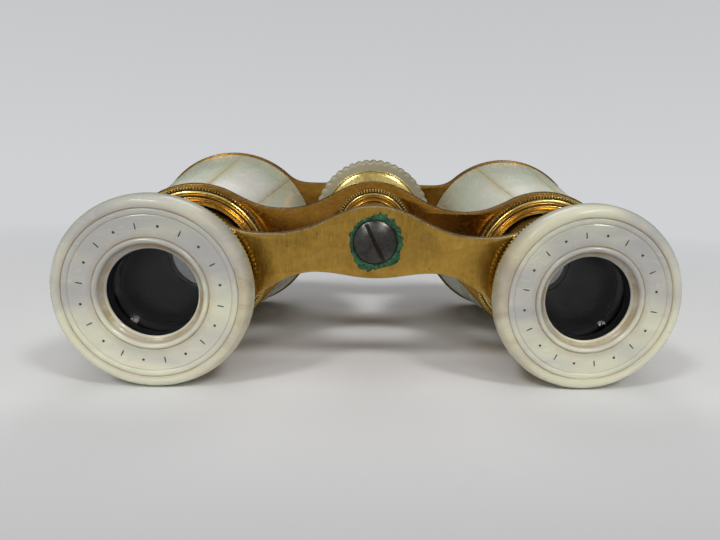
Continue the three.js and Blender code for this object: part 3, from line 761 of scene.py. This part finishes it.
def cut_away(bm, cutter):
    """Takes one closed shape out of another."""
    shapes = []
    for name, solid in (("kept", bm), ("cutter", cutter)):
        bmesh.ops.recalc_face_normals(solid, faces=solid.faces)
        shape = bpy.data.meshes.new(name)
        solid.to_mesh(shape)
        solid.free()
        shapes.append(bpy.data.objects.new(name, shape))
        bpy.context.scene.collection.objects.link(shapes[-1])
    cut = shapes[0].modifiers.new("cut", "BOOLEAN")
    cut.operation = "DIFFERENCE"
    cut.solver = "EXACT"
    cut.object = shapes[1]
    left = bpy.data.meshes.new_from_object(shapes[0].evaluated_get(
        bpy.context.evaluated_depsgraph_get()))
    for shape in shapes:
        bpy.data.objects.remove(shape)
    made = bmesh.new()
    made.from_mesh(left)
    return made


def saw_slot(width, depth_from, depth_to, height, lean):
    """The blade that cuts a screw's slot: upright, then leaned by an angle in degrees."""
    blade = bmesh.new()
    bmesh.ops.create_cube(blade, size=1)
    bmesh.ops.scale(blade, verts=blade.verts, vec=(width, depth_to - depth_from, height))
    bmesh.ops.translate(blade, verts=blade.verts, vec=(0, (depth_from + depth_to) / 2, 0))
    bmesh.ops.rotate(blade, verts=blade.verts, matrix=Matrix.Rotation(math.radians(lean), 3, "Y"))
    shift(blade, 0, COLUMN_Z)
    return blade


aged_steel = worn_brass(
    "aged_steel", bright=(0.115, 0.112, 0.102), tarnished=(0.036, 0.032, 0.029),
    rim_wear_and_shade=(0.17, 0.165, 0.15), smooth=0.22, dull=0.38, grain=(1.5, 1.5, 1.5),
    dirt=(0.02, 0.010, 0.006), relief=0.00003,
)
bm = cut_away(bm, saw_slot(width=0.7, depth_from=60.2, depth_to=62, height=9, lean=0))
fit(bm, "slotted_spindle_nut", [aged_steel], "wheel", ["spindle_end_nut"])
repaint("focus_spindle", aged_steel)
repaint("column_nut", bright_brass)


# ---- Column and draw tubes ----
# Plain gilt tubes that slide in the guides: the focusing column over the spindle, and the two
# draw tubes, which are blackened inside against stray light.
tube_gilding = worn_brass(
    "tube_gilding", bright=(0.62, 0.36, 0.085), tarnished=(0.36, 0.19, 0.04),
    rim_wear_and_shade=(0.7, 0.5, 0.2), smooth=0.2, dull=0.34, tarnish=0.05, grain=(0.8, 6.0, 0.8),
)
bm = turn([
    (2.2, 7.3), (4.4, 7.3, 0.1), (4.4, 38.2, 0.1), (3.2, 38.2), (3.2, 12.0), (2.2, 12.0),
], 72)
shift(bm, 0, COLUMN_Z)
fit(bm, "drawn_focus_column", [tube_gilding], "carriage", ["focus_column"])
bm = turn([(8.9, 3.5), (9.35, 3.5), (9.35, 38.2, 0.1), (8.9, 38.2, 0.1)], 96)
blacken_inside(bm, 9.1)
fit_pair(bm, "drawn_tube", [tube_gilding, lampblack], "carriage", "draw_tube")


# ---- Ocular bridge ----
# The slim plate that carries both eyepieces. Handling has rubbed its gilding to a dull olive
# with brush lines, pale at its edges, and its middle is sunk for the head of the screw.
rubbed_gilding = worn_brass(
    "rubbed_gilding", bright=(0.58, 0.345, 0.068), tarnished=(0.38, 0.22, 0.04),
    rim_wear_and_shade=(0.36, 0.28, 0.17), smooth=0.17, dull=0.30, tarnish=0.02, grain=(5.0, 1.0, 0.35),
    dirt=(0.05, 0.034, 0.014),
)
bm = bridge(ring=12.4, hump=5.5, waist_gap=2.6, waist_rise=1.07, top_join=128,
            crest_share=0.56, crest_drop=4.62, low_join=-158, rear=5.2, edge=0.25,
            holes=[(-EYE_X, 0, 9.65), (EYE_X, 0, 9.65), (0, COLUMN_Z, 2.2)])
sink = turn([(0, 4), (3.8, 4), (3.8, 6), (0, 6)], 64)
shift(sink, 0, COLUMN_Z)
bm = cut_away(bm, sink)
fit(bm, "sawn_ocular_bridge", [rubbed_gilding], "carriage", ["ocular_bridge"],
    crease=20)


# ---- Column screw ----
# A domed steel screw that holds the bridge to the column. It has gone dark, its slot is rusty,
# and green verdigris has crept out of the sunk seat round it.
SCREW_LEAN = -26  # degrees that the slot leans from upright
SLOT_WIDTH = 0.6
SLOT_FLOOR = 5.25
rust, tree = material("slot_rust")
place = millimetres(tree)
crust = step(tree, "TexNoise", {"Vector": place, "Scale": 3.0, "Detail": 4.0,
                                "Roughness": 0.7}).outputs[0]
bump = step(tree, "Bump", {"Height": crust, "Distance": 0.00015, "Strength": 1.0})
surface(tree, {
    "Base Color": blended(tree, spread(tree, crust, 0.4, 0.65), (0.010, 0.007, 0.006, 1),
                          (0.055, 0.026, 0.012, 1)),
    "Roughness": 0.9, "Normal": bump.outputs[0], "Metallic": 0.0,
})
bm = turn([
    (0, 4.55), (0.9, 4.6), (1.8, 4.76), (2.6, 5.0), (3.2, 5.3), (3.5, 5.55, 0.12), (3.5, 5.9),
    (1.9, 5.9), (1.9, 9.9, 0.2), (0, 9.9),
], 72)
shift(bm, 0, COLUMN_Z)
bm = cut_away(bm, saw_slot(width=SLOT_WIDTH, depth_from=3.0, depth_to=SLOT_FLOOR, height=9,
                           lean=SCREW_LEAN))
slot_normal = Matrix.Rotation(math.radians(SCREW_LEAN), 3, "Y") @ Vector((1, 0, 0))
for face in bm.faces:
    middle = face.calc_center_median() - Vector((0, 0, COLUMN_Z))
    from_slot = abs(middle.dot(slot_normal)) - SLOT_WIDTH / 2
    if from_slot < 0.01 and middle.y < SLOT_FLOOR + 0.05:
        face.material_index = 1
fit(bm, "slotted_column_screw", [aged_steel, rust], "carriage", ["column_screw"],
    crease=30)

verdigris, tree = material("verdigris")
place = millimetres(tree)
crust = step(tree, "TexNoise", {"Vector": place, "Scale": 1.1, "Detail": 5.0,
                                "Roughness": 0.7}).outputs[0]
grit = step(tree, "TexNoise", {"Vector": place, "Scale": 5.0, "Detail": 3.0}).outputs[0]
tint = blended(tree, spread(tree, crust, 0.42, 0.66), (0.007, 0.026, 0.014, 1),
               (0.026, 0.140, 0.055, 1))
tint = blended(tree, spread(tree, grit, 0.58, 0.7), tint, (0.10, 0.30, 0.12, 1))
bump = step(tree, "Bump", {"Height": sum_of(tree, "ADD", crust, grit), "Distance": 0.00012,
                           "Strength": 1.0})
surface(tree, {"Base Color": tint, "Roughness": 0.85, "Normal": bump.outputs[0],
               "Metallic": 0.0})
CRUST_STEPS = 180
SEAT_RADIUS = 3.78  # what lies outside this creeps outwards
CREEP_FROM, CREEP_SPAN = 3.6, 0.65  # the creep grows from this radius, over this width
EVEN_CREEP, LOBE_CREEP, RAGGED_CREEP, LEAST_CREEP = 0.02, 0.85, 0.55, -0.42
FACE_RADIUS, FACE_Y = 3.4, 5.28  # the face outside and before these is rough
FACE_RELIEF = 0.07
bm = turn([
    (3.3, 5.9), (3.3, 5.5), (3.52, 5.24), (3.8, 5.12), (4.05, 5.12), (4.25, 5.22), (4.25, 5.3),
    (3.75, 5.35), (3.75, 5.9),
], CRUST_STEPS)
for vert in bm.verts:
    radius = math.hypot(vert.co.x, vert.co.z)
    round_axis = Vector((vert.co.x, 0, vert.co.z)) / radius
    lobes = noise.noise(round_axis * 1.7 + Vector((3.1, 0, 0.4)))
    ragged = noise.noise(round_axis * 7.5) * 0.7 + noise.noise(round_axis * 16) * 0.25
    if radius > SEAT_RADIUS:
        creep = EVEN_CREEP + LOBE_CREEP * lobes + RAGGED_CREEP * ragged
        creep = max(creep, LEAST_CREEP) * (radius - CREEP_FROM) / CREEP_SPAN
        vert.co.x += round_axis.x * creep
        vert.co.z += round_axis.z * creep
    if radius > FACE_RADIUS and vert.co.y < FACE_Y:
        vert.co.y -= FACE_RELIEF * noise.noise(vert.co * 3.1)
shift(bm, 0, COLUMN_Z)
fit(bm, "verdigris_crust", [verdigris], "carriage", [], crease=60)


# ---- Eyepiece collars ----
# Thin rings turned from brass, each with a beaded edge. They fill the step between the ocular
# bridge and the back of the eyecup, and are pinched there when the eyecup is screwed on.
EYE_BEADS = 130
bm = turn([
    (9.65, 3.5), (12.4, 3.5, 0.1), (12.6, 3.75, 0, 0.8), (12.8, 3.65), (13.2, 3.9, 0.15),
    (13.2, 4.5, 0.15), (12.9, 4.8), (12.6, 4.7, 0, 0.6), (12.4, 4.9, 0.1), (9.65, 4.9),
], EYE_BEADS * 2)
mill(bm, EYE_BEADS * 2, pitch=2, inner=12.9, outer=13.3, rear=3.5, front=4.9, sink=0,
     inward=0.2)
fit_pair(bm, "turned_eyepiece_collar", [collar_brass], "carriage", "eyepiece_collar")


# ---- Eyecups ----
# Each is turned from one thick disc of mother-of-pearl: a bull-nosed rim, a fine bead, a
# flat band, then a cut line, a bead and a hollow down to the eye hole. Brown dirt fills the cuts.
cup_pearl = pearl(
    "eyecup_pearl", light=(0.72, 0.71, 0.54), shaded=(0.46, 0.455, 0.41),
    tan=(0.32, 0.205, 0.075), stretch=(0.6, 1.0, 1.2), glint=0.2,
)
CUP_TONE = {"left": 0.3, "right": 0.8}
CUP_PAINTED_SHADE = {"left": (0.0, 0.55), "right": (0.2, 0.3)}  # painted shade: grey over the whole cup, and more towards the top
RIM_RADIUS = 12  # the rim outside this line is creamier, and painted lighter
RIM_PAINTED_SHADE = -0.35
BRIDGE_SIDE_RADIUS = 12.1  # outside this, the sides towards the bridge are tinted tan: stain mixed with painted shade and painted reflection of the brass
BRIDGE_SIDE_STAIN_AND_SHADE = 0.55
for side, x in SIDES.items():
    bm = turn([
        (7.2, 0.6), (6.4, -0.2), (6.3, -0.5, 0.06), (6.45, -0.7, 0.1, 0.12),
        (6.75, -0.85, 0.2, 0.8), (7.05, -1.15, 0.15, 0.7),
        (7.25, -1.6, 0.1, 0.1), (7.62, -1.82, 0.15), (7.9, -1.62, 0.06, 0.3),
        (7.99, -1.45, 0, 1), (8.12, -1.55, 0.04, 0.3), (9.6, -1.5, 0.6), (11.02, -1.66),
        (11.14, -1.59, 0, 0.3), (11.26, -1.69), (11.58, -1.76, 0.12), (11.9, -1.7, 0.04, 0.1),
        (11.99, -1.56, 0, 0.9), (12.1, -1.7, 0.05, 0.4), (12.85, -1.88, 0.4),
        (13.5, -1.48, 0.4), (13.84, -0.5, 0.4), (13.84, 1.2, 0.5), (13.45, 2.5, 0.5),
        (12.7, 3.2, 0.3), (8.9, 3.2), (8.9, 0.6),
    ], 144)
    tone = bm.verts.layers.float.new("tone")
    painted_shade = bm.verts.layers.float.new("painted_shade")
    even_painted_shade, top_painted_shade = CUP_PAINTED_SHADE[side]
    dirt = bm.verts.layers.float["dirt"]
    for vert in bm.verts:
        vert[tone] = CUP_TONE[side]
        radius = math.hypot(vert.co.x, vert.co.z)
        rim_painted_shade = RIM_PAINTED_SHADE if radius > RIM_RADIUS else 0
        # painted shade: greyer towards the top of each cup, painted lighter on the rim
        vert[painted_shade] = even_painted_shade + top_painted_shade * (vert.co.z / radius) + rim_painted_shade
        towards_bridge = -math.copysign(vert.co.x, x * vert.co.x) / radius
        # painted shade and painted reflection of the brass bridge, mixed with stain, put into the
        # dirt layer
        if radius > BRIDGE_SIDE_RADIUS:
            bridge_side_stain_and_shade = BRIDGE_SIDE_STAIN_AND_SHADE * max(0, towards_bridge) ** 2
            vert[dirt] = max(vert[dirt], bridge_side_stain_and_shade)
    shift(bm, x)
    fit(bm, "turned_eyecup_" + side, [cup_pearl], "carriage", ["eyecup_" + side])


# ---- Engraved ring ----
# Short strokes and dots cut with a graver round the flat of each eyecup, then rubbed with
# black wax, which has stayed in the cuts.
MARKS = 20
MARK_RADIUS = 9.65
FIRST_MARK = 9  # degrees from the top
STROKE = (0.17, 0.12, 0.95)  # width, depth and length
DOT = (0.34, 0.12, 0.34)
mark_black, tree = material("engraving_black")
wax = step(tree, "TexNoise", {"Vector": millimetres(tree), "Scale": 2.0}).outputs[0]
surface(tree, {
    "Base Color": blended(tree, wax, (0.012, 0.010, 0.009, 1), (0.07, 0.06, 0.05, 1)),
    "Roughness": 0.7, "Metallic": 0.0,
})
bm = bmesh.new()
for number in range(MARKS):
    mark = bmesh.ops.create_cube(bm, size=1)["verts"]
    edges = list({edge for vert in mark for edge in vert.link_edges})
    bmesh.ops.scale(bm, verts=mark, vec=STROKE if number % 2 else DOT)
    bmesh.ops.translate(bm, verts=mark, vec=(0, -1.51, MARK_RADIUS))
    bmesh.ops.rotate(bm, verts=mark, matrix=Matrix.Rotation(
        math.radians(number * 360 / MARKS + FIRST_MARK), 3, "Y"))
    bmesh.ops.bevel(bm, geom=edges, offset=0.04, offset_type="OFFSET", segments=1,
                    profile=0.5, affect="EDGES", material=-1)
for side, x in SIDES.items():
    placed = bm.copy()
    shift(placed, x)
    fit(placed, "engraved_ring_" + side, [mark_black], "carriage", [])
bm.free()


# ---- Eye lenses ----
# A lens ground hollow on both faces lies in a blackened brass cell behind each eyecup. A
# blackened ring screwed into the cell holds it.
bm = turn([
    (6.3, 0.9), (8.6, 0.9, 0.1), (8.6, 9.0, 0.1), (7.7, 9.0), (7.7, 1.5), (6.3, 1.5),
], 72)
fit_pair(bm, "turned_eye_lens_cell", [lampblack], "carriage", "eye_lens_cell")
bm = turn([(6.3, 4.6), (7.4, 4.6), (7.4, 5.4), (6.5, 5.4, 0.1), (6.3, 5.1)], 72)
fit_pair(bm, "turned_eye_lens_retainer", [lampblack], "carriage", "eye_lens_retainer")
eye_glass = lens_glass("eye_lens_glass", tint=(0.68, 0.69, 0.67), bending=1.34)
hollow = lens(radius=7.4, rear=1.8, rear_depth=0.75, front=4.3, front_depth=-0.75)
fit_pair(hollow, "ground_eye_lens", [eye_glass], "carriage", "eye_lens")
